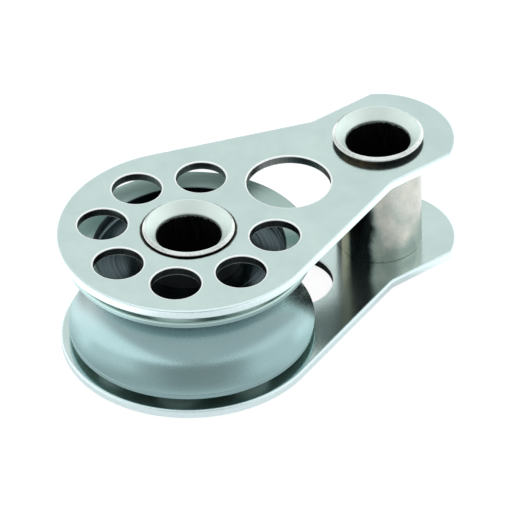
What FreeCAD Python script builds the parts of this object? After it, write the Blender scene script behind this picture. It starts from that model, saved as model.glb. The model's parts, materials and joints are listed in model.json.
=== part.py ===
import FreeCAD, Part
import math
import os
import Sketcher

# A single sheave block for rope or wire, lying on its side: two identical
# teardrop side plates, a grooved sheave between them on a hollow riveted axle,
# and a second hollow rivet through a spacer tube at the head.
#
# Frame: millimetres, +Z along the axle, +X from the axle towards the head.
# The origin is the centre of the axle's bore, halfway between the side plates.

DIMENSIONS = {
    # side plates
    "plate_thickness": 1.2,
    "inner_width": 14.0,
    "plate_end_radius": 16.0,
    "head_distance": 29.0,
    "head_end_radius": 9.5,
    "head_half_width": 8.0,
    "waist_distance": 24.9,
    "waist_round": 3.0,
    "head_corner_round": 0.6,
    "outline_edge_round": 0.3,
    "hole_edge_round": 0.15,
    # openings in the side plates
    "rivet_hole_diameter": 9.6,
    "large_hole_distance": 15.2,
    "large_hole_diameter": 10.3,
    "light_hole_circle_radius": 10.5,
    "light_hole_diameter": 6.1,
    "light_hole_spacing": 45.0,
    "light_hole_count": 7,
    # hollow rivets
    "rivet_bore_radius": 4.0,
    "rivet_tube_radius": 4.75,
    "flare_inner_radius": 5.2,
    "flare_outer_radius": 5.65,
    "flare_depth": 1.3,
    "flare_edge_drop": 0.35,
    "flare_edge_round": 0.12,
    "flare_spread": 0.6875,
    "factory_flare_lift": 0.3,
    "axle_flare_lift": 0.3,
    "head_flare_lift": 0.8,
    # tubes that hold the plates apart
    "tube_inside_radius": 4.8,
    "tube_outside_radius": 5.3,
    "tube_edge_break": 0.15,
    # bearing bush, pressed into the sheave and running on the axle sleeve
    "bush_bore_radius": 5.35,
    "bush_outside_radius": 6.5,
    "bush_end_clearance": 0.3,
    "bush_edge_break": 0.2,
    # sheave, which slides down its sleeve a little when the block lies on its side
    "sheave_radius": 15.0,
    "sheave_width": 11.8,
    "rim_land": 0.72,
    "groove_depth": 2.5,
    "rim_inner_radius": 11.65,
    "web_recess": 1.4,
    "rim_edge_round": 0.25,
    "groove_edge_round": 0.12,
    "recess_corner_round": 0.5,
    "wheel_rest_drop": 0.2,
}


def cell(name):
    """The expression that reads one driving dimension."""
    return "Dimensions." + name


def make_dimensions(doc):
    """Put the driving dimensions in a sheet, one plain number per row."""
    sheet = doc.addObject("Spreadsheet::Sheet", "Dimensions")
    for row, (name, value) in enumerate(DIMENSIONS.items(), start=1):
        sheet.set("A%d" % row, name)
        sheet.set("B%d" % row, str(value))
        sheet.setAlias("B%d" % row, name)
    doc.recompute()


def new_body(doc, node):
    body = doc.addObject("PartDesign::Body", node)
    body.Label = node
    return body


def origin_feature(body, role):
    for feature in body.Origin.OriginFeatures:
        if feature.Role == role:
            return feature
    raise ValueError("no origin feature " + role)


def new_sketch(body, name, plane_role):
    sketch = body.newObject("Sketcher::SketchObject", name)
    sketch.AttachmentSupport = [(origin_feature(body, plane_role), "")]
    sketch.MapMode = "FlatFace"
    return sketch


def drive(sketch, constraint, name, expression):
    """Add a named constraint whose value comes from an expression."""
    index = sketch.addConstraint(constraint)
    sketch.renameConstraint(index, name)
    sketch.setExpression("Constraints." + name, expression)


def join_end_to_start(sketch, first, second):
    sketch.addConstraint(Sketcher.Constraint("Coincident", first, 2, second, 1))


def place_point(sketch, name, curve, point, across, up):
    """Hold a curve's point at two distances from the sketch's origin."""
    here = sketch.getPoint(curve, point)
    drive(sketch, Sketcher.Constraint("DistanceX", -1, 1, curve, point, here.x), name + "_across", across)
    drive(sketch, Sketcher.Constraint("DistanceY", -1, 1, curve, point, here.y), name + "_up", up)


def section_sketch(body, name, corners):
    """A closed outline of straight lines in the XZ plane.

    Each corner is (name, radius, radius expression, height, height expression).
    """
    sketch = new_sketch(body, name, "XZ_Plane")
    points = [FreeCAD.Vector(radius, height, 0) for _, radius, _, height, _ in corners]
    count = len(points)
    for index in range(count):
        sketch.addGeometry(Part.LineSegment(points[index], points[(index + 1) % count]), False)
    for index in range(count):
        join_end_to_start(sketch, index, (index + 1) % count)
    for index, (corner, _, across, _, up) in enumerate(corners):
        place_point(sketch, corner, index, 1, across, up)
    return sketch


def revolve(body, sketch, name):
    revolution = body.newObject("PartDesign::Revolution", name)
    revolution.Profile = sketch
    revolution.ReferenceAxis = (sketch, ["V_Axis"])
    revolution.Angle = 360.0
    return revolution


def edge_names(shape, wanted):
    """Names of the shape's edges for which wanted(edge) is true."""
    names = ["Edge%d" % number for number, edge in enumerate(shape.Edges, start=1) if wanted(edge)]
    if not names:
        raise ValueError("no edge matches")
    return names


def add_dressing(body, kind, name, base, edges, size_property, expression):
    """A fillet or chamfer on the named edges of the last feature."""
    dressing = body.newObject(kind, name)
    dressing.Base = (base, edges)
    dressing.setExpression(size_property, expression)
    return dressing


def fillet_edges(body, name, base, wanted, expression):
    names = edge_names(base.Shape, wanted)
    return add_dressing(body, "PartDesign::Fillet", name, base, names, "Radius", expression)


def chamfer_edges(body, name, base, wanted, expression):
    names = edge_names(base.Shape, wanted)
    return add_dressing(body, "PartDesign::Chamfer", name, base, names, "Size", expression)


def is_ring(edge, radius=None):
    """True for a full circle, of the given radius if there is one."""
    if not isinstance(edge.Curve, Part.Circle):
        return False
    return radius is None or abs(edge.Curve.Radius - radius) < 0.01


# ---------------------------------------------------------------- side plates

def plate_outline(body):
    """Teardrop: a round end about the axle, tapering to a parallel-sided head."""
    end_radius = DIMENSIONS["plate_end_radius"]
    head_x = DIMENSIONS["head_distance"]
    head_radius = DIMENSIONS["head_end_radius"]
    half_width = DIMENSIONS["head_half_width"]
    waist_x = DIMENSIONS["waist_distance"]
    # direction of the point where the taper leaves the round end
    reach = math.hypot(waist_x, half_width)
    leave = math.atan2(half_width, waist_x) + math.acos(end_radius / reach)
    head_half_angle = math.asin(half_width / head_radius)
    corner_x = head_x + head_radius * math.cos(head_half_angle)

    axis = FreeCAD.Vector(0, 0, 1)
    origin = FreeCAD.Vector(0, 0, 0)
    head = FreeCAD.Vector(head_x, 0, 0)
    left_leave = FreeCAD.Vector(end_radius * math.cos(leave), end_radius * math.sin(leave), 0)
    right_leave = FreeCAD.Vector(left_leave.x, -left_leave.y, 0)
    left_waist = FreeCAD.Vector(waist_x, half_width, 0)
    right_waist = FreeCAD.Vector(waist_x, -half_width, 0)
    left_corner = FreeCAD.Vector(corner_x, half_width, 0)
    right_corner = FreeCAD.Vector(corner_x, -half_width, 0)

    sketch = new_sketch(body, body.Name + "_outline", "XY_Plane")
    round_end = sketch.addGeometry(
        Part.ArcOfCircle(Part.Circle(origin, axis, end_radius), leave, 2 * math.pi - leave), False)
    right_taper = sketch.addGeometry(Part.LineSegment(right_leave, right_waist), False)
    right_flat = sketch.addGeometry(Part.LineSegment(right_waist, right_corner), False)
    head_arc = sketch.addGeometry(
        Part.ArcOfCircle(Part.Circle(head, axis, head_radius), -head_half_angle, head_half_angle), False)
    left_flat = sketch.addGeometry(Part.LineSegment(left_corner, left_waist), False)
    left_taper = sketch.addGeometry(Part.LineSegment(left_waist, left_leave), False)

    sketch.addConstraint(Sketcher.Constraint("Coincident", round_end, 3, -1, 1))
    sketch.addConstraint(Sketcher.Constraint("Tangent", round_end, 2, right_taper, 1))
    join_end_to_start(sketch, right_taper, right_flat)
    join_end_to_start(sketch, right_flat, head_arc)
    join_end_to_start(sketch, head_arc, left_flat)
    join_end_to_start(sketch, left_flat, left_taper)
    sketch.addConstraint(Sketcher.Constraint("Tangent", left_taper, 2, round_end, 1))
    sketch.addConstraint(Sketcher.Constraint("Horizontal", right_flat))
    sketch.addConstraint(Sketcher.Constraint("Horizontal", left_flat))
    sketch.addConstraint(Sketcher.Constraint("PointOnObject", head_arc, 3, -1))
    sketch.addConstraint(Sketcher.Constraint("Symmetric", right_taper, 2, left_taper, 1, -1))
    drive(sketch, Sketcher.Constraint("Radius", round_end, end_radius),
          "end_radius", cell("plate_end_radius"))
    drive(sketch, Sketcher.Constraint("Radius", head_arc, head_radius),
          "head_radius", cell("head_end_radius"))
    drive(sketch, Sketcher.Constraint("DistanceX", -1, 1, head_arc, 3, head_x),
          "head_x", cell("head_distance"))
    place_point(sketch, "waist", left_taper, 1, cell("waist_distance"), cell("head_half_width"))
    return sketch


def round_hole_sketch(body, name, holes):
    """Circles in the plate's plane: (name, x, y, x expression, y expression, diameter)."""
    sketch = new_sketch(body, name, "XY_Plane")
    for hole, x, y, across, up, size in holes:
        radius = DIMENSIONS[size] / 2
        circle = Part.Circle(FreeCAD.Vector(x, y, 0), FreeCAD.Vector(0, 0, 1), radius)
        index = sketch.addGeometry(circle, False)
        drive(sketch, Sketcher.Constraint("Diameter", index, 2 * radius), hole + "_size", cell(size))
        place_point(sketch, hole, index, 3, across, up)
    return sketch


def cut_through(body, sketch, name):
    pocket = body.newObject("PartDesign::Pocket", name)
    pocket.Profile = sketch
    pocket.Type = "ThroughAll"
    pocket.Reversed = True
    return pocket


def must_remove(doc, feature, before):
    """Stop if a cut has taken nothing away."""
    doc.recompute()
    if feature.Shape.Volume > before - 1.0:
        raise ValueError(feature.Name + " removed nothing")
    return feature.Shape.Volume


def make_side_plate(doc, node, height_expression):
    body = new_body(doc, node)
    plate = body.newObject("PartDesign::Pad", node + "_plate")
    plate.Profile = plate_outline(body)
    plate.setExpression("Length", cell("plate_thickness"))
    doc.recompute()

    waist_x = DIMENSIONS["waist_distance"]
    head_x = DIMENSIONS["head_distance"]

    def is_upright(edge, low_x, high_x):
        ends = [vertex.Point for vertex in edge.Vertexes]
        if len(ends) < 2 or abs(ends[0].z - ends[1].z) < 0.1:
            return False
        return low_x < ends[0].x < high_x

    waists = fillet_edges(body, node + "_waists", plate,
                          lambda edge: is_upright(edge, waist_x - 1, waist_x + 1), cell("waist_round"))
    doc.recompute()
    corners = fillet_edges(body, node + "_corners", waists,
                           lambda edge: is_upright(edge, head_x + 1, head_x + 9),
                           cell("head_corner_round"))
    doc.recompute()

    thickness = DIMENSIONS["plate_thickness"]
    outline_round = fillet_edges(body, node + "_outline_round", corners,
                                 lambda edge: edge.BoundBox.ZLength < 0.01,
                                 cell("outline_edge_round"))
    doc.recompute()
    volume = outline_round.Shape.Volume

    zero = "0 mm"
    bores = cut_through(body, round_hole_sketch(body, node + "_rivet_holes", [
        ("axle", 0, 0, zero, zero, "rivet_hole_diameter"),
        ("head", head_x, 0, cell("head_distance"), zero, "rivet_hole_diameter"),
    ]), node + "_rivet_bores")
    volume = must_remove(doc, bores, volume)

    large = cut_through(body, round_hole_sketch(body, node + "_large_hole", [
        ("large", DIMENSIONS["large_hole_distance"], 0, cell("large_hole_distance"), zero,
         "large_hole_diameter"),
    ]), node + "_large_opening")
    volume = must_remove(doc, large, volume)

    # one lightening hole each step round the axle, leaving out the head's side
    step = math.radians(DIMENSIONS["light_hole_spacing"])
    circle_radius = DIMENSIONS["light_hole_circle_radius"]
    angle = "(%s * 1 deg)" % cell("light_hole_spacing")
    across = "%s * cos%s" % (cell("light_hole_circle_radius"), angle)
    up = "%s * sin%s" % (cell("light_hole_circle_radius"), angle)
    light = cut_through(body, round_hole_sketch(body, node + "_light_hole", [
        ("light", circle_radius * math.cos(step), circle_radius * math.sin(step), across, up,
         "light_hole_diameter"),
    ]), node + "_light_opening")
    volume = must_remove(doc, light, volume)
    ring = body.newObject("PartDesign::PolarPattern", node + "_light_ring")
    ring.Originals = [light]
    ring.Axis = (light.Profile[0], ["N_Axis"])
    ring.setExpression("Occurrences", cell("light_hole_count"))
    ring.setExpression("Angle", "%s * (%s - 1)" % (cell("light_hole_spacing"), cell("light_hole_count")))
    body.Tip = ring
    volume = must_remove(doc, ring, volume)

    def is_open_hole(edge):
        at_face = abs(edge.BoundBox.ZMax) < 0.01 or abs(edge.BoundBox.ZMin - thickness) < 0.01
        light_radius = DIMENSIONS["light_hole_diameter"] / 2
        large_radius = DIMENSIONS["large_hole_diameter"] / 2
        return at_face and (is_ring(edge, light_radius) or is_ring(edge, large_radius))

    fillet_edges(body, node + "_hole_round", ring, is_open_hole, cell("hole_edge_round"))
    body.setExpression("Placement.Base.z", height_expression)
    return body


# ------------------------------------------------- tubes, bush and the sheave

def make_tube(doc, node, inside, outside, half_height, half_height_expression, edge_break,
              distance_expression, lift_expression="0 mm"):
    """A plain tube about its own Z axis, with its edges broken."""
    body = new_body(doc, node)
    inner = DIMENSIONS[inside]
    outer = DIMENSIONS[outside]
    below = "-(%s)" % half_height_expression
    section = section_sketch(body, node + "_section", [
        ("inner_low", inner, cell(inside), -half_height, below),
        ("outer_low", outer, cell(outside), -half_height, below),
        ("outer_high", outer, cell(outside), half_height, half_height_expression),
        ("inner_high", inner, cell(inside), half_height, half_height_expression),
    ])
    tube = revolve(body, section, node + "_tube")
    doc.recompute()
    chamfer_edges(body, node + "_edges", tube, is_ring, cell(edge_break))
    body.setExpression("Placement.Base.x", distance_expression)
    body.setExpression("Placement.Base.z", lift_expression)
    return body


def make_rivet(doc, node, lift_name, distance_expression):
    """A hollow rivet through both plates, flared outwards over each of them."""
    body = new_body(doc, node)
    plate_face = "(%s / 2 + %s)" % (cell("inner_width"), cell("plate_thickness"))
    face = DIMENSIONS["inner_width"] / 2 + DIMENSIONS["plate_thickness"]
    bore = DIMENSIONS["rivet_bore_radius"]
    tube = DIMENSIONS["rivet_tube_radius"]
    lip = DIMENSIONS["flare_outer_radius"]
    mouth = DIMENSIONS["flare_inner_radius"]
    drop = DIMENSIONS["flare_edge_drop"]
    depth = DIMENSIONS["flare_depth"]

    def flare(side, sign, lift_alias):
        """Corners of one flare, from the throat in the bore to the tube's outside."""
        lift = DIMENSIONS[lift_alias]
        minus = "-" if sign < 0 else ""
        top = face + lift + drop
        top_words = "(%s + %s + %s)" % (plate_face, cell(lift_alias), cell("flare_edge_drop"))
        throat_words = "(%s - %s)" % (top_words, cell("flare_depth"))
        lip_words = "(%s + %s)" % (plate_face, cell(lift_alias))
        seat = lip - lift * DIMENSIONS["flare_spread"]
        seat_words = "%s - %s * %s" % (cell("flare_outer_radius"), cell(lift_alias), cell("flare_spread"))
        return [
            (side + "_throat", bore, cell("rivet_bore_radius"), sign * (top - depth), minus + throat_words),
            (side + "_mouth", mouth, cell("flare_inner_radius"), sign * top, minus + top_words),
            (side + "_lip", lip, cell("flare_outer_radius"), sign * (face + lift), minus + lip_words),
            (side + "_seat", seat, seat_words, sign * face, minus + plate_face),
            (side + "_neck", tube, cell("rivet_tube_radius"), sign * face, minus + plate_face),
        ]

    corners = flare("upper", 1, lift_name) + flare("lower", -1, "factory_flare_lift")[::-1]
    section = section_sketch(body, node + "_section", corners)
    rivet = revolve(body, section, node + "_rivet")
    doc.recompute()
    fillet_edges(body, node + "_lip_round", rivet,
                 lambda edge: is_ring(edge, mouth) or is_ring(edge, lip), cell("flare_edge_round"))
    body.setExpression("Placement.Base.x", distance_expression)
    return body


def make_sheave(doc, node, lift_expression):
    """Grooved wheel with a recessed web on each side and a bore for the bush."""
    body = new_body(doc, node)
    radius = DIMENSIONS["sheave_radius"]
    half_width = DIMENSIONS["sheave_width"] / 2
    shoulder = half_width - DIMENSIONS["rim_land"]
    web = half_width - DIMENSIONS["web_recess"]
    bore = DIMENSIONS["bush_outside_radius"]
    rim = DIMENSIONS["rim_inner_radius"]
    half_width_words = "(%s / 2)" % cell("sheave_width")
    shoulder_words = "(%s - %s)" % (half_width_words, cell("rim_land"))
    web_words = "(%s - %s)" % (half_width_words, cell("web_recess"))
    bottom_words = "%s - %s" % (cell("sheave_radius"), cell("groove_depth"))

    # corners in order round the section, from the groove's upper shoulder
    corners = [
        ("upper_shoulder", radius, cell("sheave_radius"), shoulder, shoulder_words),
        ("upper_rim", radius, cell("sheave_radius"), half_width, half_width_words),
        ("upper_rim_inner", rim, cell("rim_inner_radius"), half_width, half_width_words),
        ("upper_web_outer", rim, cell("rim_inner_radius"), web, web_words),
        ("upper_web_inner", bore, cell("bush_outside_radius"), web, web_words),
        ("lower_web_inner", bore, cell("bush_outside_radius"), -web, "-" + web_words),
        ("lower_web_outer", rim, cell("rim_inner_radius"), -web, "-" + web_words),
        ("lower_rim_inner", rim, cell("rim_inner_radius"), -half_width, "-" + half_width_words),
        ("lower_rim", radius, cell("sheave_radius"), -half_width, "-" + half_width_words),
        ("lower_shoulder", radius, cell("sheave_radius"), -shoulder, "-" + shoulder_words),
    ]
    sketch = new_sketch(body, node + "_section", "XZ_Plane")
    points = [FreeCAD.Vector(across, up, 0) for _, across, _, up, _ in corners]
    for start, end in zip(points, points[1:]):
        sketch.addGeometry(Part.LineSegment(start, end), False)
    bottom = FreeCAD.Vector(radius - DIMENSIONS["groove_depth"], 0, 0)
    groove = sketch.addGeometry(Part.Arc(points[-1], bottom, points[0]), False)
    for index in range(groove - 1):
        join_end_to_start(sketch, index, index + 1)
    # the arc runs the other way round, from the upper shoulder to the lower one
    start_point = sketch.getPoint(groove, 1)
    first, last = (1, 2) if start_point.y > 0 else (2, 1)
    sketch.addConstraint(Sketcher.Constraint("Coincident", groove, first, 0, 1))
    sketch.addConstraint(Sketcher.Constraint("Coincident", groove, last, groove - 1, 2))
    for index, (corner, _, across, _, up) in enumerate(corners[:-1]):
        place_point(sketch, corner, index, 1, across, up)
    place_point(sketch, corners[-1][0], groove - 1, 2, corners[-1][2], corners[-1][4])
    # the arc's radius from its depth and half its chord
    depth = cell("groove_depth")
    radius_words = "(%s ^ 2 + %s ^ 2) / (2 * %s)" % (shoulder_words, depth, depth)
    groove_radius = (shoulder ** 2 + DIMENSIONS["groove_depth"] ** 2) / (2 * DIMENSIONS["groove_depth"])
    drive(sketch, Sketcher.Constraint("Radius", groove, groove_radius), "groove_radius", radius_words)

    wheel = revolve(body, sketch, node + "_wheel")

    def is_at(edge, ring_radius, height):
        return is_ring(edge, ring_radius) and abs(abs(edge.BoundBox.Center.z) - height) < 0.05

    doc.recompute()
    rims = fillet_edges(body, node + "_rim_round", wheel,
                        lambda edge: is_at(edge, radius, half_width), cell("rim_edge_round"))
    doc.recompute()
    grooved = fillet_edges(body, node + "_groove_round", rims,
                           lambda edge: is_at(edge, radius, shoulder) or is_at(edge, rim, half_width),
                           cell("groove_edge_round"))
    doc.recompute()
    fillet_edges(body, node + "_recess_round", grooved,
                 lambda edge: is_at(edge, rim, web), cell("recess_corner_round"))
    body.setExpression("Placement.Base.z", lift_expression)
    return body


# ------------------------------------------------------------ whole assembly

def make_block(doc):
    zero = "0 mm"
    inner_half = DIMENSIONS["inner_width"] / 2
    inner_half_words = "%s / 2" % cell("inner_width")
    bush_half = inner_half - DIMENSIONS["bush_end_clearance"]
    bush_half_words = "%s / 2 - %s" % (cell("inner_width"), cell("bush_end_clearance"))
    lower_words = "-%s / 2 - %s" % (cell("inner_width"), cell("plate_thickness"))
    head_words = cell("head_distance")
    wheel_words = "-" + cell("wheel_rest_drop")
    return [
        make_side_plate(doc, "side_plate_upper", inner_half_words),
        make_side_plate(doc, "side_plate_lower", lower_words),
        make_sheave(doc, "sheave", wheel_words),
        make_tube(doc, "bearing_bush", "bush_bore_radius", "bush_outside_radius", bush_half,
                  bush_half_words, "bush_edge_break", zero, wheel_words),
        make_tube(doc, "axle_sleeve", "tube_inside_radius", "tube_outside_radius", inner_half,
                  inner_half_words, "tube_edge_break", zero),
        make_rivet(doc, "axle_rivet", "axle_flare_lift", zero),
        make_tube(doc, "head_spacer", "tube_inside_radius", "tube_outside_radius", inner_half,
                  inner_half_words, "tube_edge_break", head_words),
        make_rivet(doc, "head_rivet", "head_flare_lift", head_words),
    ]


def check_document(doc, bodies):
    """Stop if any object failed or any piece is not one valid solid."""
    for item in doc.Objects:
        if "Invalid" in item.State or "Error" in item.State:
            raise ValueError("%s failed: %s" % (item.Name, item.State))
    for body in bodies:
        shape = body.Shape
        if shape.isNull() or not shape.isValid() or len(shape.Solids) != 1:
            raise ValueError(body.Label + " is not one valid solid")


document = FreeCAD.newDocument("sheave_block")
make_dimensions(document)
pieces = make_block(document)
document.recompute()
check_document(document, pieces)
os.makedirs("parts", exist_ok=True)
for piece in pieces:
    piece.Shape.exportStep("parts/%s.step" % piece.Label)
    box = piece.Shape.BoundBox
    print("%-18s volume %9.2f  x %7.2f %7.2f  y %7.2f %7.2f  z %7.2f %7.2f" % (
        piece.Label, piece.Shape.Volume, box.XMin, box.XMax, box.YMin, box.YMax, box.ZMin, box.ZMax))
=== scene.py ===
import json
import math
import random

import bmesh
import bpy
from mathutils import Matrix, Vector


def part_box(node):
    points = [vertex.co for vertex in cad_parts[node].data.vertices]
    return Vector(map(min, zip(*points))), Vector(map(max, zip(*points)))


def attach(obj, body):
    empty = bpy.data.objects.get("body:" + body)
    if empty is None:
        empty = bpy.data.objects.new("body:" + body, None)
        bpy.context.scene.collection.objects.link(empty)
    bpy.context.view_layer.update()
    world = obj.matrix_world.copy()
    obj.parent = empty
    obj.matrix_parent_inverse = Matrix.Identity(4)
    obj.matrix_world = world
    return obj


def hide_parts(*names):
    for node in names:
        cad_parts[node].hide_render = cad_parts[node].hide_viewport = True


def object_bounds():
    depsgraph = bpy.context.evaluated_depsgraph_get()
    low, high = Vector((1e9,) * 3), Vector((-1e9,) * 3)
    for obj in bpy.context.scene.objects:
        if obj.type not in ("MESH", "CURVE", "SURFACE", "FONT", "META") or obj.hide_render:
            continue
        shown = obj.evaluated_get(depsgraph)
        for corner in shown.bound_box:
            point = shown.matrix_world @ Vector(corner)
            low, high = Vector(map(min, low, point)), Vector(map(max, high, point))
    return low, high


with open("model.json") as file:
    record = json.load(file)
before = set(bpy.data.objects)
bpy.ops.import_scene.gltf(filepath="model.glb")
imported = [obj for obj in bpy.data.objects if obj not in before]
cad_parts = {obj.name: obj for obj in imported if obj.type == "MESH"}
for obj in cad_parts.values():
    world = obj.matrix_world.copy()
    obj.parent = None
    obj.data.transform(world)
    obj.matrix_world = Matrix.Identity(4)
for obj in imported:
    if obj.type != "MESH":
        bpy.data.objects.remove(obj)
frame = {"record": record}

MM = 0.001
MICRON = 0.001 * MM
CAD_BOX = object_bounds()
MOUNTS = {mount["name"]: mount for mount in frame["record"]["mounts"]}


def tenth_mm(value):
    """A size in metres read from the frame, to the nearest 0.1 mm."""
    return round(value, 4)


# ------------------------------------------------------------------- sizes

PLATE_LOW, PLATE_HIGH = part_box("side_plate_upper")
PLATE_THICK = tenth_mm(PLATE_HIGH.z - PLATE_LOW.z)
INNER_FACE = tenth_mm(PLATE_LOW.z)
OUTER_FACE = tenth_mm(PLATE_HIGH.z)
PLATE_END_RADIUS = tenth_mm(-PLATE_LOW.x)
HEAD_X = MOUNTS["head_bore"]["pos_m"][0]
HEAD_RADIUS = tenth_mm(PLATE_HIGH.x - HEAD_X)
HEAD_HALF_WIDTH = 8.0 * MM
WAIST_X = 24.9 * MM
WAIST_ROUND = 3.0 * MM
HEAD_CORNER_ROUND = 0.6 * MM
OUTLINE_EDGE_ROUND = 0.3 * MM
HOLE_LIP_WIDTH = 0.20 * MM
HOLE_LIP_DROP = 0.15 * MM
RIVET_HOLE_RADIUS = 4.8 * MM
RIVET_HOLE_SIDES = 96
LARGE_HOLE_X = 15.2 * MM
LARGE_HOLE_RADIUS = 5.15 * MM
LARGE_HOLE_SIDES = 120
LIGHT_HOLE_CIRCLE = 10.5 * MM
LIGHT_HOLE_RADIUS = 3.05 * MM
LIGHT_HOLE_PITCH = math.radians(45)
LIGHT_HOLE_COUNT = 7
LIGHT_HOLE_SIDES = 80

BORE_RADIUS = MOUNTS["head_bore"]["dims"]["r_mm"] * MM
RIVET_TUBE_RADIUS = 4.75 * MM
FLARE_INNER_RADIUS = 5.2 * MM
FLARE_OUTER_RADIUS = 5.65 * MM
FLARE_DEPTH = 1.3 * MM
FLARE_EDGE_DROP = 0.35 * MM
# how much the outside of a flare widens for each unit that it rises from the plate
FLARE_SPREAD = 0.6875
THROAT_ROUND = 0.45 * MM
LIP_INNER_ROUND = 0.10 * MM
LIP_OUTER_ROUND = 0.12 * MM
SEAT_ROUND = 0.03 * MM
# the pale metal of the cone runs this far down the bore, to a ragged end where the bore's painted
# shade begins
PALE_THROAT = 0.34 * MM
THROAT_RAGGED = 0.13 * MM
THROAT_SEED = 11
# the lip is uneven from this far inside its inner edge outwards
LIP_ZONE = 0.3 * MM
LIP_UNEVENNESS = 0.006 * MM
RIVET_SEGMENTS = 360
TUBE_INSIDE_RADIUS = 4.8 * MM
TUBE_OUTSIDE_RADIUS = 5.3 * MM
TUBE_END_ROUND = 0.15 * MM

SHEAVE_LOW, SHEAVE_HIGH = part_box("sheave")
SHEAVE_RADIUS = tenth_mm(SHEAVE_HIGH.x)
SHEAVE_Z = tenth_mm((SHEAVE_HIGH.z + SHEAVE_LOW.z) / 2)
SHEAVE_HALF_WIDTH = tenth_mm((SHEAVE_HIGH.z - SHEAVE_LOW.z) / 2)
RIM_LAND = 0.72 * MM
RIM_ROUND = 0.25 * MM
GROOVE_EDGE_ROUND = 0.12 * MM
GROOVE_DEPTH = 2.5 * MM
RIM_INNER_RADIUS = 11.65 * MM
WEB_RECESS = 1.4 * MM
WEB_CORNER_ROUND = 0.5 * MM
BUSH_SEAT_ROUND = 0.05 * MM
# a line left by the lathe tool on the web
MARK_RADIUS = 9.0 * MM
MARK_HALF_WIDTH = 0.07 * MM
MARK_DEPTH = 0.05 * MM
MARK_ROUND = 0.03 * MM
GROOVE_STEPS = 30
SHEAVE_SEGMENTS = 300
BUSH_LOW, BUSH_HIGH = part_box("bearing_bush")
BUSH_Z = tenth_mm((BUSH_HIGH.z + BUSH_LOW.z) / 2)
BUSH_HALF = tenth_mm((BUSH_HIGH.z - BUSH_LOW.z) / 2)
BUSH_OUTSIDE_RADIUS = 6.5 * MM
BUSH_BORE_RADIUS = 5.35 * MM
BUSH_END_ROUND = 0.2 * MM

# painted shadow on the plates round the axle rivet: its radius, soft edge and waver
PAINTED_SHADE_RADIUS = 6.0 * MM
PAINTED_SHADE_EDGE = 0.2 * MM
PAINTED_SHADE_WAVER = 0.1 * MM
# Painted reflection on a tube's side, dark like the shaded wheel it faces: clean at the first X
# and covered at the second. Down its middle runs a tan stripe, which fades out between two distances
# from Y = 0.
PAINTED_REFLECTION_FROM_X = -3.5 * MM
PAINTED_REFLECTION_FULL_X = -4.3 * MM
PAINTED_REFLECTION_WAVER = 0.6 * MM
STRIPE_INSIDE_Y = 0.5 * MM
STRIPE_OUTSIDE_Y = 1.1 * MM

FLOOR_Z = CAD_BOX[0].z
FLOOR_HALF_SIZE = 3.0

# ------------------------------------------------------------------ studio

CAMERA_AZIMUTH = math.radians(-36.26)
CAMERA_ELEVATION = math.radians(37.90)
CAMERA_ROLL = math.radians(-1.60)
CAMERA_DISTANCE = 763.8 * MM
CAMERA_AIM = Vector((9.42, -0.75, 0)) * MM
CAMERA_LENS = 440.7
CAMERA_SENSOR = 36.0

# The tent's light rises with elevation, from the first level at the first of these
# elevations to the second level at the second. All its angles are in degrees, and its
# azimuths are counted from the camera, positive to the camera's right.
TENT_ELEVATIONS = (-20, 60)
TENT_LEVELS = (0.70, 0.90)
TENT_COLOUR = (0.97, 1.0, 0.99, 1)
# Each panel adds light: its centre's azimuth, half width, lowest and highest elevation,
# strength, and the softness of its edges.
TENT_PANELS = [
    (180, 180, 56, 95, 0.38, 9),
    (-88, 34, -20, 26, 0.6, 11),
    (97, 42, -20, 40, 0.52, 12),
    (180, 70, -12, 14, 0.7, 6),
]
# Each opening takes away a share of the light, given in the place of the strength.
TENT_OPENINGS = [
    (4, 34, -30, 58, 0.30, 14),
]
BACKDROP_LEVEL = 1.08
# The floor glows as a light table does, so that shadows stay faint. The camera sees it
# plain. In reflections it is brighter to the left and right of the block, and dark on the
# block's far side, and under the block it is dark as a painted shadow.
FLOOR_SEEN_GLOW = 0.92
FLOOR_GLOW = 0.80
# where the brighter floor starts and where it is at its full strength, in distance along
# the camera's right, and that strength
SIDE_GLOWS = [
    (20.0 * MM, 36.0 * MM, 1.35),
    (-13.0 * MM, -26.0 * MM, 1.75),
]
# where the floor starts to darken and where it is dark, in distance towards the camera
FAR_DARK_START = -2.0 * MM
FAR_DARK_FULL = -26.0 * MM
# the same for the painted shadow under the block, in distance from the line between the two
# rivets, where it narrows by the taper for each unit towards the head
UNDER_DARK_START = 15.0 * MM
UNDER_DARK_FULL = 9.6 * MM
UNDER_DARK_TAPER = 0.22

# ------------------------------------------------------------- mesh helpers


def new_object(name, mesh, materials, centre=(0, 0, 0)):
    obj = bpy.data.objects.new(name, mesh)
    obj.location = centre
    for material in materials:
        mesh.materials.append(material)
    bpy.context.scene.collection.objects.link(obj)
    return obj


def smooth_with_normals(mesh, normals):
    """Smooth shading with exact normals, so that flat faces stay flat."""
    mesh.polygons.foreach_set("use_smooth", [True] * len(mesh.polygons))
    mesh.normals_split_custom_set_from_vertices(normals)
    mesh.update()


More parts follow.
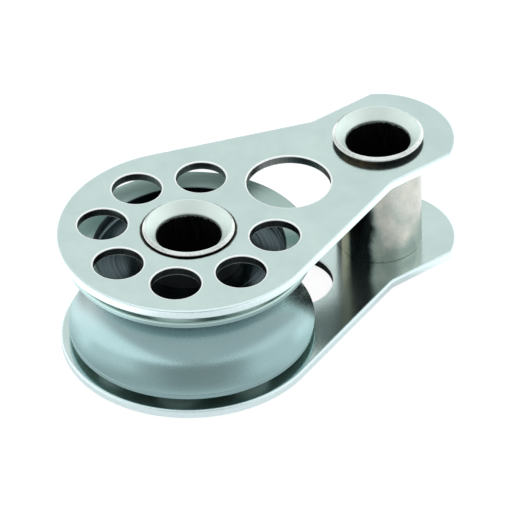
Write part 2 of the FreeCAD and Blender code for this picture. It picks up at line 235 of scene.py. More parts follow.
def rounded_section(corners, arc_step=math.radians(9)):
    """A closed outline with rounded corners, walked with the material on its left.

    Each corner is (radius, height, rounding, material index of the side that follows). A
    rounding of 0 is for a point on a straight side, where only the material changes.
    Returns (radius, height, radial part of normal, height part of normal, material).
    """
    points = []
    count = len(corners)
    for index in range(count):
        here = Vector(corners[index][:2])
        before = Vector(corners[index - 1][:2])
        after = Vector(corners[(index + 1) % count][:2])
        rounding, material = corners[index][2:]
        arriving = (here - before).normalized()
        normal_in = Vector((arriving.y, -arriving.x))
        if not rounding:
            points.append((*corners[index][:2], normal_in.x, normal_in.y, material))
            continue
        leaving = (after - here).normalized()
        turn = math.atan2(arriving.x * leaving.y - arriving.y * leaving.x, arriving.dot(leaving))
        half_tangent = math.tan(abs(turn) / 2)
        longest = 0.499 * min((here - before).length, (after - here).length)
        trim = min(rounding * half_tangent, longest)
        radius = trim / half_tangent
        side = 1 if turn > 0 else -1
        centre = here - arriving * trim - normal_in * radius * side
        steps = max(2, math.ceil(abs(turn) / arc_step))
        for step in range(steps + 1):
            angle = turn * step / steps
            cosine, sine = math.cos(angle), math.sin(angle)
            normal = Vector((normal_in.x * cosine - normal_in.y * sine,
                             normal_in.x * sine + normal_in.y * cosine))
            point = centre + normal * radius * side
            points.append((point.x, point.y, normal.x, normal.y, material))
    return points


def lathe(name, section, materials, centre=(0, 0, 0), segments=240, shake=None):
    """Turn a closed section about the Z axis. shake(radius, height, angle) may move a point."""
    vertices, normals, faces, face_materials = [], [], [], []
    rows = len(section)
    for column in range(segments):
        angle = 2 * math.pi * column / segments
        cosine, sine = math.cos(angle), math.sin(angle)
        for radius, height, across, up, _ in section:
            if shake:
                radius, height = shake(radius, height, angle)
            vertices.append((radius * cosine, radius * sine, height))
            normals.append((across * cosine, across * sine, up))
    for column in range(segments):
        start = column * rows
        beside = (column + 1) % segments * rows
        for row in range(rows):
            above = (row + 1) % rows
            faces.append((start + row, beside + row, beside + above, start + above))
            face_materials.append(section[row][4])
    mesh = bpy.data.meshes.new(name)
    mesh.from_pydata(vertices, [], faces)
    mesh.polygons.foreach_set("material_index", face_materials)
    smooth_with_normals(mesh, normals)
    return new_object(name, mesh, materials, centre)


def arc_points(centre, radius, start, end, convex=True, step=math.radians(2.5)):
    """Points along an arc, each with the normal that points out of the material."""
    steps = max(2, math.ceil(abs(end - start) / step))
    side = 1 if convex else -1
    points = []
    for index in range(steps + 1):
        angle = start + (end - start) * index / steps
        direction = Vector((math.cos(angle), math.sin(angle)))
        points.append((Vector(centre) + direction * radius, direction * side))
    return points


def circle_hole(x, y, radius, sides):
    """A round hole's edge, clockwise: its normals point into the hole."""
    return arc_points((x, y), radius, 2 * math.pi, 0, convex=False, step=2 * math.pi / sides)[:-1]


# ---------------------------------------------------------------- materials


def new_material(name, metallic=0.0):
    material = bpy.data.materials.new(name)
    material.use_nodes = True
    tree = material.node_tree
    shader = tree.nodes["Principled BSDF"]
    shader.inputs["Metallic"].default_value = metallic
    return material, tree, shader


def add_node(tree, kind, **settings):
    """A node with its properties, and its inputs where a setting names one."""
    node = tree.nodes.new(kind)
    for key, value in settings.items():
        if hasattr(node, key):
            setattr(node, key, value)
        else:
            node.inputs[key.replace("_", " ")].default_value = value
    return node


def object_coordinates(tree, scale=(1, 1, 1), rotation=(0, 0, 0)):
    place = add_node(tree, "ShaderNodeTexCoord")
    mapping = add_node(tree, "ShaderNodeMapping")
    mapping.inputs["Scale"].default_value = scale
    mapping.inputs["Rotation"].default_value = rotation
    tree.links.new(place.outputs["Object"], mapping.inputs["Vector"])
    return mapping.outputs["Vector"]


def noise(tree, vector, scale, detail=4.0, roughness=0.55):
    node = add_node(tree, "ShaderNodeTexNoise", Scale=scale, Detail=detail, Roughness=roughness)
    tree.links.new(vector, node.inputs["Vector"])
    return node.outputs["Fac"]


def axis_distance(tree):
    """Distance from the object's own Z axis."""
    flat = add_node(tree, "ShaderNodeVectorMath", operation="MULTIPLY")
    flat.inputs[1].default_value = (1, 1, 0)
    tree.links.new(object_coordinates(tree), flat.inputs[0])
    length = add_node(tree, "ShaderNodeVectorMath", operation="LENGTH")
    tree.links.new(flat.outputs["Vector"], length.inputs[0])
    return length.outputs["Value"]


def ring_noise(tree, scale, detail=3.0):
    """Noise in rings about the object's Z axis, as a lathe tool leaves on a flat face."""
    node = add_node(tree, "ShaderNodeTexNoise", noise_dimensions="1D", Scale=scale, Detail=detail)
    tree.links.new(axis_distance(tree), node.inputs["W"])
    return node.outputs["Fac"]


def remap(tree, value, low, high, to_low, to_high):
    node = add_node(tree, "ShaderNodeMapRange")
    node.inputs["From Min"].default_value = low
    node.inputs["From Max"].default_value = high
    node.inputs["To Min"].default_value = to_low
    node.inputs["To Max"].default_value = to_high
    tree.links.new(value, node.inputs["Value"])
    return node.outputs["Result"]


def smooth_step(tree, value, low, high):
    """0 at low and 1 at high, with an eased ramp between. low may be above high."""
    node = add_node(tree, "ShaderNodeMapRange", interpolation_type="SMOOTHSTEP")
    flipped = low > high
    node.inputs["From Min"].default_value = min(low, high)
    node.inputs["From Max"].default_value = max(low, high)
    node.inputs["To Min"].default_value = 1.0 if flipped else 0.0
    node.inputs["To Max"].default_value = 0.0 if flipped else 1.0
    tree.links.new(value, node.inputs["Value"])
    return node.outputs["Result"]


def mix_colours(tree, factor, first, second):
    """The first colour at 0 and the second at 1. Each is an RGB triple or another node's output."""
    node = add_node(tree, "ShaderNodeMix", data_type="RGBA")
    for socket, colour in (("A", first), ("B", second)):
        if isinstance(colour, tuple):
            node.inputs[socket].default_value = (*colour, 1)
        else:
            tree.links.new(colour, node.inputs[socket])
    tree.links.new(factor, node.inputs["Factor"])
    return node.outputs["Result"]


def math_node(tree, operation, first, second=None):
    node = add_node(tree, "ShaderNodeMath", operation=operation)
    for index, value in enumerate((first, second)):
        if value is None:
            continue
        if isinstance(value, (int, float)):
            node.inputs[index].default_value = value
        else:
            tree.links.new(value, node.inputs[index])
    return node.outputs[0]


def bump(tree, shader, height, distance, strength=1.0, normal=None):
    node = add_node(tree, "ShaderNodeBump", Strength=strength, Distance=distance)
    tree.links.new(height, node.inputs["Height"])
    if normal:
        tree.links.new(normal, node.inputs["Normal"])
    tree.links.new(node.outputs["Normal"], shader.inputs["Normal"])
    return node.outputs["Normal"]


def polished_sheet():
    """Tumbled, polished stainless sheet: nearly a mirror, with a painted shadow round the axle rivet.
    """
    material, tree, shader = new_material("polished_sheet", metallic=1.0)
    vector = object_coordinates(tree)
    cloud = remap(tree, noise(tree, vector, 160.0, 7.0, 0.72), 0.35, 0.65, 0, 1)
    clean = mix_colours(tree, cloud, (0.635, 0.775, 0.755), (0.705, 0.845, 0.825))
    # painted shadow: a nearly black ring round the axle rivet, standing for the contact shadow under
    # its lip
    wobble = remap(tree, noise(tree, vector, 1500.0), 0, 1, -PAINTED_SHADE_WAVER, PAINTED_SHADE_WAVER)
    distance = math_node(tree, "ADD", axis_distance(tree), wobble)
    painted_shade_ring = smooth_step(tree, distance, PAINTED_SHADE_RADIUS, PAINTED_SHADE_RADIUS - PAINTED_SHADE_EDGE)
    colour = mix_colours(tree, painted_shade_ring, clean, (0.03, 0.025, 0.02))
    tree.links.new(colour, shader.inputs["Base Color"])
    grain = noise(tree, vector, 5200.0, 3.0, 0.6)
    tree.links.new(remap(tree, grain, 0.3, 0.7, 0.13, 0.21), shader.inputs["Roughness"])
    bump(tree, shader, grain, 3.5 * MICRON, 0.6)
    return material


def sheet_edge():
    """The blanked and tumbled edge of the sheet: bright, finely pitted."""
    material, tree, shader = new_material("sheet_edge", metallic=1.0)
    fine = noise(tree, object_coordinates(tree), 3800.0, 4.0, 0.65)
    colour = mix_colours(tree, fine, (0.58, 0.71, 0.73), (0.81, 0.93, 0.95))
    tree.links.new(colour, shader.inputs["Base Color"])
    tree.links.new(remap(tree, fine, 0.3, 0.7, 0.26, 0.42), shader.inputs["Roughness"])
    bump(tree, shader, fine, 6 * MICRON, 0.7)
    return material


def hole_lip_painted_highlight():
    """The lip of a hole: near white, a painted highlight for the light that the rounded lip reflects.
    """
    material, tree, shader = new_material("hole_lip_painted_highlight", metallic=0.5)
    fine = noise(tree, object_coordinates(tree), 3000.0, 4.0, 0.65)
    # painted highlight: the lip is near white
    colour = mix_colours(tree, fine, (0.86, 0.91, 0.90), (0.98, 1.0, 1.0))
    tree.links.new(colour, shader.inputs["Base Color"])
    shader.inputs["Roughness"].default_value = 0.35
    bump(tree, shader, fine, 6 * MICRON, 0.7)
    return material


def hole_wall_painted_shade():
    """The punched wall of a hole, painted dark as the shade inside the hole."""
    material, tree, shader = new_material("hole_wall_painted_shade", metallic=1.0)
    fine = noise(tree, object_coordinates(tree, (1, 1, 0.2)), 2600.0, 4.0, 0.65)
    # painted shade: the wall is far darker than the sheet
    colour = mix_colours(tree, fine, (0.07, 0.08, 0.08), (0.24, 0.25, 0.25))
    tree.links.new(colour, shader.inputs["Base Color"])
    shader.inputs["Roughness"].default_value = 0.3
    bump(tree, shader, fine, 10 * MICRON, 0.8)
    return material


def satin_tube():
    """Drawn and lightly polished tube, with a painted reflection on the side towards -X, which faces
    the wheel.
    """
    material, tree, shader = new_material("satin_tube", metallic=1.0)
    blotch = noise(tree, object_coordinates(tree), 420.0, 5.0)
    mottled = remap(tree, blotch, 0.3, 0.7, 0, 1)
    clean = mix_colours(tree, mottled, (0.31, 0.35, 0.33), (0.51, 0.51, 0.46))
    place = add_node(tree, "ShaderNodeSeparateXYZ")
    tree.links.new(object_coordinates(tree), place.inputs["Vector"])
    # painted reflection: the dark side and its tan stripe stand for the shaded wheel reflected in the
    # tube
    aside = math_node(tree, "ABSOLUTE", place.outputs["Y"])
    beside_stripe = smooth_step(tree, aside, STRIPE_INSIDE_Y, STRIPE_OUTSIDE_Y)
    painted_reflection_colour = mix_colours(tree, beside_stripe, (0.42, 0.36, 0.26), (0.02, 0.02, 0.02))
    waver = remap(tree, blotch, 0, 1, -PAINTED_REFLECTION_WAVER, PAINTED_REFLECTION_WAVER)
    wavy = math_node(tree, "ADD", place.outputs["X"], waver)
    painted_reflection = smooth_step(tree, wavy, PAINTED_REFLECTION_FROM_X, PAINTED_REFLECTION_FULL_X)
    tree.links.new(mix_colours(tree, painted_reflection, clean, painted_reflection_colour), shader.inputs["Base Color"])
    lines = noise(tree, object_coordinates(tree, (1, 1, 0.08)), 4200.0, 3.0)
    tree.links.new(remap(tree, lines, 0.3, 0.7, 0.24, 0.31), shader.inputs["Roughness"])
    bump(tree, shader, lines, 1.5 * MICRON, 0.4)
    return material


def flared_steel():
    """The pale satin cone of a flared tube end."""
    material, tree, shader = new_material("flared_steel", metallic=1.0)
    blotch = noise(tree, object_coordinates(tree), 420.0, 4.0)
    colour = mix_colours(tree, blotch, (0.72, 0.81, 0.78), (0.80, 0.88, 0.85))
    tree.links.new(colour, shader.inputs["Base Color"])
    fine = noise(tree, object_coordinates(tree), 4800.0, 3.0, 0.65)
    tree.links.new(remap(tree, fine, 0.3, 0.7, 0.46, 0.60), shader.inputs["Roughness"])
    bump(tree, shader, fine, 4 * MICRON, 0.6)
    return material


def flare_outside_painted_shade():
    """The outside of a flare, under its lip: nearly black painted shade, with brown patches of painted
    reflection.
    """
    material, tree, shader = new_material("flare_outside_painted_shade")
    patch = noise(tree, object_coordinates(tree), 330.0, 3.0)
    brown = remap(tree, patch, 0.5, 0.72, 0, 1)
    # painted shade: the black stands for the shadow under the lip, the brown for a reflection seen
    # there
    colour = mix_colours(tree, brown, (0.01, 0.01, 0.01), (0.17, 0.10, 0.055))
    tree.links.new(colour, shader.inputs["Base Color"])
    shader.inputs["Roughness"].default_value = 0.6
    shader.inputs["Specular IOR Level"].default_value = 0.2
    return material


def rim_steel():
    """The cut end of the tube, which the flaring tool burnished."""
    material, tree, shader = new_material("rim_steel", metallic=1.0)
    fine = noise(tree, object_coordinates(tree), 3200.0, 4.0, 0.7)
    colour = mix_colours(tree, fine, (0.40, 0.42, 0.42), (0.92, 0.94, 0.93))
    tree.links.new(colour, shader.inputs["Base Color"])
    tree.links.new(remap(tree, fine, 0.3, 0.7, 0.14, 0.30), shader.inputs["Roughness"])
    bump(tree, shader, fine, 10 * MICRON, 0.8)
    return material


def bore_painted_shade():
    """The inside of the tube: nearly black painted shade, with marks along its length."""
    material, tree, shader = new_material("bore_painted_shade", metallic=1.0)
    streak = noise(tree, object_coordinates(tree, (1, 1, 0.15)), 2600.0, 5.0, 0.7)
    paler = remap(tree, streak, 0.35, 0.7, 0, 1)
    # painted shade: a nearly black base for the shade deep in the tube
    colour = mix_colours(tree, paler, (0.008, 0.008, 0.008), (0.04, 0.04, 0.04))
    tree.links.new(colour, shader.inputs["Base Color"])
    shader.inputs["Roughness"].default_value = 0.55
    bump(tree, shader, streak, 40 * MICRON, 0.9)
    return material


def anodised_groove():
    """Satin blue-grey anodised alloy, turned, with faint marks round the axis."""
    material, tree, shader = new_material("anodised_groove", metallic=1.0)
    cloud = noise(tree, object_coordinates(tree), 130.0, 4.0)
    colour = mix_colours(tree, cloud, (0.24, 0.36, 0.376), (0.29, 0.412, 0.418))
    tree.links.new(colour, shader.inputs["Base Color"])
    fine = noise(tree, object_coordinates(tree), 5200.0, 3.0)
    tree.links.new(remap(tree, fine, 0.3, 0.7, 0.20, 0.30), shader.inputs["Roughness"])
    turned = noise(tree, object_coordinates(tree, (0.04, 0.04, 1)), 2600.0, 3.0, 0.6)
    marked = bump(tree, shader, turned, 6 * MICRON, 0.5)
    bump(tree, shader, fine, 2 * MICRON, 0.5, normal=marked)
    return material


def pale_ring():
    """The flat ring on each side of the rim, turned pale and satin."""
    material, tree, shader = new_material("pale_ring", metallic=1.0)
    rings = ring_noise(tree, 2400.0)
    colour = mix_colours(tree, rings, (0.43, 0.57, 0.54), (0.51, 0.65, 0.62))
    tree.links.new(colour, shader.inputs["Base Color"])
    tree.links.new(remap(tree, rings, 0.3, 0.7, 0.40, 0.48), shader.inputs["Roughness"])
    return material


def turned_web_painted_shade():
    """The sheave's recessed web: painted dark as the shade in the recess, with rings from the lathe
    tool that catch the light.
    """
    material, tree, shader = new_material("turned_web_painted_shade", metallic=1.0)
    shader.inputs["Anisotropic"].default_value = 0.8
    rings = ring_noise(tree, 3000.0)
    paler = remap(tree, rings, 0.35, 0.7, 0, 1)
    # painted shade: the web is the groove's alloy darkened for the shade in its recess
    colour = mix_colours(tree, paler, (0.06, 0.085, 0.095), (0.12, 0.16, 0.175))
    tree.links.new(colour, shader.inputs["Base Color"])
    shader.inputs["Roughness"].default_value = 0.22
    tangent = add_node(tree, "ShaderNodeTangent", direction_type="RADIAL", axis="Z")
    tree.links.new(tangent.outputs["Tangent"], shader.inputs["Tangent"])
    bump(tree, shader, rings, 4 * MICRON, 0.3)
    return material


def black_acetal():
    """The bush's matt black plastic, finely machined."""
    material, tree, shader = new_material("black_acetal")
    fine = noise(tree, object_coordinates(tree), 2500.0, 4.0)
    colour = mix_colours(tree, fine, (0.012, 0.012, 0.013), (0.025, 0.025, 0.026))
    tree.links.new(colour, shader.inputs["Base Color"])
    tree.links.new(remap(tree, fine, 0.3, 0.7, 0.38, 0.55), shader.inputs["Roughness"])
    bump(tree, shader, fine, 10 * MICRON, 0.5)
    return material


# ------------------------------------------------------------- side plates


def plate_outline():
    """The teardrop's edge, anticlockwise, with its waist and corners rounded."""
    reach = math.hypot(WAIST_X, HEAD_HALF_WIDTH)
    leave = math.atan2(HEAD_HALF_WIDTH, WAIST_X) + math.acos(PLATE_END_RADIUS / reach)
    taper = math.pi / 2 - leave
    waist_trim = WAIST_ROUND * math.tan(taper / 2)
    waist_centre_y = HEAD_HALF_WIDTH + WAIST_ROUND
    corner_y = HEAD_HALF_WIDTH - HEAD_CORNER_ROUND
    corner_reach = HEAD_RADIUS - HEAD_CORNER_ROUND
    corner_x = math.sqrt(corner_reach ** 2 - corner_y ** 2)
    corner_angle = math.atan2(corner_y, corner_x)
    quarter = math.pi / 2
    points = arc_points((0, 0), PLATE_END_RADIUS, leave, 2 * math.pi - leave)
    points += arc_points((WAIST_X + waist_trim, -waist_centre_y), WAIST_ROUND,
                         quarter + taper, quarter, convex=False)
    points += arc_points((HEAD_X + corner_x, -corner_y), HEAD_CORNER_ROUND,
                         -quarter, -corner_angle, step=math.radians(8))
    points += arc_points((HEAD_X, 0), HEAD_RADIUS, -corner_angle, corner_angle)[1:-1]
    points += arc_points((HEAD_X + corner_x, corner_y), HEAD_CORNER_ROUND,
                         corner_angle, quarter, step=math.radians(8))
    points += arc_points((WAIST_X + waist_trim, waist_centre_y), WAIST_ROUND,
                         -quarter, -quarter - taper, convex=False)
    return points


def plate_holes():
    """The edge loop of every hole in a side plate."""
    holes = [
        circle_hole(0, 0, RIVET_HOLE_RADIUS, RIVET_HOLE_SIDES),
        circle_hole(HEAD_X, 0, RIVET_HOLE_RADIUS, RIVET_HOLE_SIDES),
        circle_hole(LARGE_HOLE_X, 0, LARGE_HOLE_RADIUS, LARGE_HOLE_SIDES),
    ]
    for number in range(1, LIGHT_HOLE_COUNT + 1):
        angle = number * LIGHT_HOLE_PITCH
        x = LIGHT_HOLE_CIRCLE * math.cos(angle)
        y = LIGHT_HOLE_CIRCLE * math.sin(angle)
        holes.append(circle_hole(x, y, LIGHT_HOLE_RADIUS, LIGHT_HOLE_SIDES))
    return holes


def edge_profile(width, drop, steps=7):
    """(inset, height, outward part, upward part) down the plate's rounded edge.

    The rounding is a quarter of an ellipse, this wide on the face and this far down the wall.
    """
    half = PLATE_THICK / 2
    profile = []
    for step in range(steps + 1):
        angle = math.pi / 2 * (1 - step / steps)
        out, up = Vector((math.cos(angle) / width, math.sin(angle) / drop)).normalized()
        profile.append((width * (1 - math.cos(angle)), half - drop * (1 - math.sin(angle)), out, up))
    return profile + [(inset, -height, out, -up) for inset, height, out, up in reversed(profile)]


def side_plate(name, materials, centre_z):
    """Sheet with rounded edges all round its outline and its holes.

    The materials are the faces', the outline's, the holes' lips' and the holes' walls'.
    """
    sheet, edge, lip, wall = range(4)
    outline_profile = edge_profile(OUTLINE_EDGE_ROUND, OUTLINE_EDGE_ROUND)
    hole_profile = edge_profile(HOLE_LIP_WIDTH, HOLE_LIP_DROP)
    loops = [(plate_outline(), outline_profile, edge, edge)]
    loops += [(hole, hole_profile, lip, wall) for hole in plate_holes()]
    mesh_data = bmesh.new()
    normals = []
    top_edges, bottom_edges = [], []
    for loop, profile, round_material, wall_material in loops:
        rings = []
        for inset, height, out, up in profile:
            ring = []
            for point, normal in loop:
                place = point - normal * inset
                ring.append(mesh_data.verts.new((place.x, place.y, centre_z + height)))
                normals.append((normal.x * out, normal.y * out, up))
            rings.append(ring)
        count = len(loop)
        for level, (upper, lower) in enumerate(zip(rings, rings[1:])):
            straight = level == len(rings) // 2 - 1
            material = wall_material if straight else round_material
            for index in range(count):
                after = (index + 1) % count
                face = mesh_data.faces.new((upper[index], lower[index], lower[after], upper[after]))
                face.material_index = material
        for ring, edges in ((rings[0], top_edges), (rings[-1], bottom_edges)):
            for index in range(count):
                edges.append(mesh_data.edges.get((ring[index], ring[(index + 1) % count])))
    for edges, up in ((top_edges, 1), (bottom_edges, -1)):
        filled = bmesh.ops.triangle_fill(mesh_data, edges=edges, use_beauty=True, normal=(0, 0, up))
        for item in filled["geom"]:
            if isinstance(item, bmesh.types.BMFace):
                item.material_index = sheet
                item.normal_update()
                if item.normal.z * up < 0:
                    item.normal_flip()
    mesh = bpy.data.meshes.new(name)
    mesh_data.to_mesh(mesh)
    mesh_data.free()
    smooth_with_normals(mesh, normals)
    return new_object(name, mesh, materials)


# ------------------------------------------------- rivets, tubes and sheave


def flared_rivet(name, node, materials, x):
    """A tube flared over both plates. Its two lifts come from the CAD node's box."""
    low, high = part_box(node)

    def flare(side, tip):
        """The corners of one flared end, on the lower (-1) or the upper (1) side."""
        lip = abs(tip) - FLARE_EDGE_DROP
        seat_radius = FLARE_OUTER_RADIUS - (lip - OUTER_FACE) * FLARE_SPREAD
        cone, rim, bore, outside = range(4)
        throat = abs(tip) - FLARE_DEPTH
        corners = [
            (BORE_RADIUS, side * (throat - PALE_THROAT), 0),
            (BORE_RADIUS, side * throat, THROAT_ROUND),
            (FLARE_INNER_RADIUS, side * abs(tip), LIP_INNER_ROUND),
            (FLARE_OUTER_RADIUS, side * lip, LIP_OUTER_ROUND),
            (seat_radius, side * OUTER_FACE, SEAT_ROUND),
            (RIVET_TUBE_RADIUS, side * OUTER_FACE, SEAT_ROUND),
        ]
        down = [(*corner, material) for corner, material in
                zip(corners, (cone, cone, rim, outside, outside, outside))]
        up = [(*corner, material) for corner, material in
              zip(corners[::-1], (outside, outside, rim, cone, cone, bore))]
        return down if side < 0 else up

    corners = flare(-1, low.z) + flare(1, high.z)

    chooser = random.Random(THROAT_SEED)
    ragged = [chooser.uniform(-1, 1) for _ in range(RIVET_SEGMENTS)]
    pale_ends = [corner[1] for corner in corners if corner[2] == 0]

    def shake(radius, height, angle):
        """Small unevenness of the flared lip, and a ragged end to the pale throat."""
        if height in pale_ends:
            column = round(angle / (2 * math.pi) * RIVET_SEGMENTS)
            return radius, height + THROAT_RAGGED * ragged[column]
        if radius < FLARE_INNER_RADIUS - LIP_ZONE:
            return radius, height
        wave = math.sin(3 * angle + 0.7)
        wave += 0.6 * math.sin(7 * angle + 2.1)
        wave += 0.4 * math.sin(16 * angle)
        return radius - LIP_UNEVENNESS * (wave + 2), height

    return lathe(name, rounded_section(corners), materials, (x, 0, 0), RIVET_SEGMENTS, shake)


def plain_tube(name, material, inside, outside, half_height, rounding, x=0.0, z=0.0):
    corners = [
        (inside, -half_height, rounding, 0),
        (outside, -half_height, rounding, 0),
        (outside, half_height, rounding, 0),
        (inside, half_height, rounding, 0),
    ]
    return lathe(name, rounded_section(corners), [material], (x, 0, z))


def turning_mark(radius, height, side, material):
    """The corners of a shallow line left by the lathe tool."""
    line = [
        (radius - MARK_HALF_WIDTH, height),
        (radius, height - side * MARK_DEPTH),
        (radius + MARK_HALF_WIDTH, height),
    ]
    return [(across, up, MARK_ROUND, material) for across, up in line]


def sheave_wheel(name, materials):
    groove_half = SHEAVE_HALF_WIDTH - RIM_LAND
    groove_radius = (groove_half ** 2 + GROOVE_DEPTH ** 2) / (2 * GROOVE_DEPTH)
    groove_centre = SHEAVE_RADIUS - GROOVE_DEPTH + groove_radius
    sweep = math.asin(groove_half / groove_radius)
    web = SHEAVE_HALF_WIDTH - WEB_RECESS
    groove, ring, recess = range(3)
    curve = []
    for step in range(1, GROOVE_STEPS):
        angle = sweep * (2 * step / GROOVE_STEPS - 1)
        curve.append((groove_centre - groove_radius * math.cos(angle),
                      groove_radius * math.sin(angle), groove_radius, groove))
    lower_face = [
        (BUSH_OUTSIDE_RADIUS, -web, BUSH_SEAT_ROUND, recess),
        *turning_mark(MARK_RADIUS, -web, -1, recess),
        (RIM_INNER_RADIUS, -web, WEB_CORNER_ROUND, recess),
        (RIM_INNER_RADIUS, -SHEAVE_HALF_WIDTH, GROOVE_EDGE_ROUND, ring),
        (SHEAVE_RADIUS, -SHEAVE_HALF_WIDTH, RIM_ROUND, groove),
        (SHEAVE_RADIUS, -groove_half, GROOVE_EDGE_ROUND, groove),
    ]
    mirrored = [(across, -up, rounding) for across, up, rounding, _ in reversed(lower_face)]
    upper_materials = [groove, ring] + [recess] * (len(mirrored) - 2)
    upper_face = [(*corner, material) for corner, material in zip(mirrored, upper_materials)]
    section = rounded_section(lower_face + curve + upper_face)
    return lathe(name, section, materials, (0, 0, SHEAVE_Z), SHEAVE_SEGMENTS)


# ------------------------------------------------------------ whole assembly


def make_object():
    plate_materials = [polished_sheet(), sheet_edge(), hole_lip_painted_highlight(), hole_wall_painted_shade()]
    tube = satin_tube()
    rivet_materials = [flared_steel(), rim_steel(), bore_painted_shade(), flare_outside_painted_shade()]
    plate_z = (INNER_FACE + OUTER_FACE) / 2
    made = [
        ("side_plate_upper", "cheek_frame", "plate_steel",
         side_plate("upper_plate", plate_materials, plate_z)),
        ("side_plate_lower", "cheek_frame", "plate_steel",
         side_plate("lower_plate", plate_materials, -plate_z)),
        ("axle_rivet", "cheek_frame", "rivet_steel",
         flared_rivet("axle_tube_rivet", "axle_rivet", rivet_materials, 0.0)),
        ("head_rivet", "cheek_frame", "rivet_steel",
         flared_rivet("head_tube_rivet", "head_rivet", rivet_materials, HEAD_X)),
        ("head_spacer", "cheek_frame", "tube_steel",
         plain_tube("head_spacer_tube", tube, TUBE_INSIDE_RADIUS, TUBE_OUTSIDE_RADIUS,
                    INNER_FACE, TUBE_END_ROUND, HEAD_X)),
        ("axle_sleeve", "cheek_frame", "tube_steel",
         plain_tube("axle_sleeve_tube", tube, TUBE_INSIDE_RADIUS, TUBE_OUTSIDE_RADIUS,
                    INNER_FACE, TUBE_END_ROUND)),
        ("bearing_bush", "wheel", "bush_plastic",
         plain_tube("acetal_bush", black_acetal(), BUSH_BORE_RADIUS, BUSH_OUTSIDE_RADIUS,
                    BUSH_HALF, BUSH_END_ROUND, z=BUSH_Z)),
        ("sheave", "wheel", "sheave_alloy",
         sheave_wheel("grooved_sheave", [anodised_groove(), pale_ring(), turned_web_painted_shade()])),
    ]
    for node, body, slot, piece in made:
        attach(piece, body)
        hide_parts(node)


# --------------------------------------------------------------- the studio


def plain_as_seen(tree, level, seen_level):
    """One even level as the camera sees it directly, and the given level everywhere else."""
    path = add_node(tree, "ShaderNodeLightPath")
    seen = add_node(tree, "ShaderNodeMix", data_type="FLOAT")
    seen.inputs["B"].default_value = seen_level
    tree.links.new(path.outputs["Is Camera Ray"], seen.inputs["Factor"])
    tree.links.new(level, seen.inputs["A"])
    return seen.outputs["Result"]


def floor_glow(tree):
    """How much the floor glows: evenly as seen directly, and in a pattern in reflections."""
    turned = add_node(tree, "ShaderNodeSeparateXYZ")
    tree.links.new(object_coordinates(tree, rotation=(0, 0, -CAMERA_AZIMUTH)), turned.inputs["Vector"])
    towards = math_node(tree, "MULTIPLY", turned.outputs["Y"], -1.0)
    near = smooth_step(tree, towards, FAR_DARK_FULL, FAR_DARK_START)
    level = math_node(tree, "MULTIPLY", near, FLOOR_GLOW)
    for start, full, strength in SIDE_GLOWS:
        side = smooth_step(tree, turned.outputs["X"], start, full)
        level = math_node(tree, "MAXIMUM", level, math_node(tree, "MULTIPLY", side, strength))
    # the painted shadow under the block: distance from the line between the axle and the head, on the
    # floor
    place = add_node(tree, "ShaderNodeSeparateXYZ")
    tree.links.new(object_coordinates(tree), place.inputs["Vector"])
    on_line = add_node(tree, "ShaderNodeClamp", Min=0.0, Max=HEAD_X)
    tree.links.new(place.outputs["X"], on_line.inputs["Value"])
    along = math_node(tree, "SUBTRACT", place.outputs["X"], on_line.outputs[0])
    squares = math_node(tree, "ADD", math_node(tree, "POWER", along, 2.0),
                        math_node(tree, "POWER", place.outputs["Y"], 2.0))
    widened = math_node(tree, "MULTIPLY", on_line.outputs[0], UNDER_DARK_TAPER)
    distance = math_node(tree, "ADD", math_node(tree, "SQRT", squares), widened)
    clear = smooth_step(tree, distance, UNDER_DARK_FULL, UNDER_DARK_START)
    level = math_node(tree, "MULTIPLY", level, clear)
    return plain_as_seen(tree, level, FLOOR_SEEN_GLOW)


def make_floor():
    mesh = bpy.data.meshes.new("studio_floor")
    size = FLOOR_HALF_SIZE
    corners = [(-size, -size, 0), (size, -size, 0), (size, size, 0), (-size, size, 0)]
    mesh.from_pydata(corners, [], [(0, 1, 2, 3)])
    material, tree, shader = new_material("pale_paper")
    fibres = noise(tree, object_coordinates(tree), 900.0, 3.0)
    colour = mix_colours(tree, fibres, (0.14, 0.14, 0.14), (0.16, 0.16, 0.16))
    tree.links.new(colour, shader.inputs["Base Color"])
    shader.inputs["Roughness"].default_value = 0.9
    shader.inputs["Specular IOR Level"].default_value = 0.1
    shader.inputs["Emission Color"].default_value = (1.0, 1.0, 1.0, 1.0)
    tree.links.new(floor_glow(tree), shader.inputs["Emission Strength"])
    floor = new_object("studio_floor", mesh, [material], (0, 0, FLOOR_Z))


def angular_box(tree, azimuth, elevation, centre, half_width, low, high, soft):
    """1 inside a box in azimuth and elevation, in degrees, with soft edges."""
    offset = math_node(tree, "SUBTRACT", azimuth, centre)
    wrapped = add_node(tree, "ShaderNodeMath", operation="WRAP")
    wrapped.inputs[1].default_value = 180.0
    wrapped.inputs[2].default_value = -180.0
    tree.links.new(offset, wrapped.inputs[0])
    away = math_node(tree, "ABSOLUTE", wrapped.outputs[0])
    across = smooth_step(tree, away, half_width + soft, half_width - soft)
    above = smooth_step(tree, elevation, low - soft, low + soft)
    below = smooth_step(tree, elevation, high + soft, high - soft)
    return math_node(tree, "MULTIPLY", across, math_node(tree, "MULTIPLY", above, below))


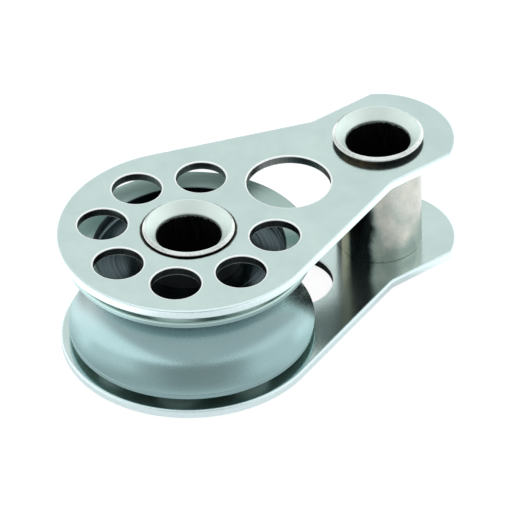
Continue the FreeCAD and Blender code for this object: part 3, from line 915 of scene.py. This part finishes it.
def make_world():
    """A light tent with an opening round the camera. Camera rays see a plain pale backdrop."""
    world = bpy.data.worlds.new("studio")
    bpy.context.scene.world = world
    world.use_nodes = True
    tree = world.node_tree
    background = tree.nodes["Background"]
    place = add_node(tree, "ShaderNodeTexCoord")
    turned = add_node(tree, "ShaderNodeMapping")
    turned.inputs["Rotation"].default_value = (0, 0, -CAMERA_AZIMUTH)
    tree.links.new(place.outputs["Generated"], turned.inputs["Vector"])
    split = add_node(tree, "ShaderNodeSeparateXYZ")
    tree.links.new(turned.outputs["Vector"], split.inputs["Vector"])
    ahead = math_node(tree, "MULTIPLY", split.outputs["Y"], -1.0)
    azimuth = math_node(tree, "DEGREES", math_node(tree, "ARCTAN2", split.outputs["X"], ahead))
    elevation = math_node(tree, "DEGREES", math_node(tree, "ARCSINE", split.outputs["Z"]))
    level = remap(tree, elevation, *TENT_ELEVATIONS, *TENT_LEVELS)
    for centre, half_width, low, high, strength, soft in TENT_PANELS:
        panel = angular_box(tree, azimuth, elevation, centre, half_width, low, high, soft)
        level = math_node(tree, "ADD", level, math_node(tree, "MULTIPLY", panel, strength))
    for centre, half_width, low, high, depth, soft in TENT_OPENINGS:
        opening = angular_box(tree, azimuth, elevation, centre, half_width, low, high, soft)
        kept = math_node(tree, "SUBTRACT", 1.0, math_node(tree, "MULTIPLY", opening, depth))
        level = math_node(tree, "MULTIPLY", level, kept)
    background.inputs["Color"].default_value = TENT_COLOUR
    tree.links.new(plain_as_seen(tree, level, BACKDROP_LEVEL), background.inputs["Strength"])


def make_camera():
    azimuth, elevation = CAMERA_AZIMUTH, CAMERA_ELEVATION
    back = Vector((math.sin(azimuth) * math.cos(elevation),
                   -math.cos(azimuth) * math.cos(elevation),
                   math.sin(elevation)))
    level = Vector((math.cos(azimuth), math.sin(azimuth), 0))
    right = Matrix.Rotation(CAMERA_ROLL, 3, back) @ level
    up = back.cross(right)
    data = bpy.data.cameras.new("camera")
    data.lens = CAMERA_LENS
    data.sensor_width = CAMERA_SENSOR
    data.clip_start = 0.01
    camera = bpy.data.objects.new("camera", data)
    bpy.context.scene.collection.objects.link(camera)
    turned = Matrix((right, up, back)).transposed().to_4x4()
    camera.matrix_world = Matrix.Translation(CAMERA_AIM + back * CAMERA_DISTANCE) @ turned
    bpy.context.scene.camera = camera


make_object()
make_floor()
make_world()
make_camera()
bpy.context.scene.view_settings.view_transform = "Standard"
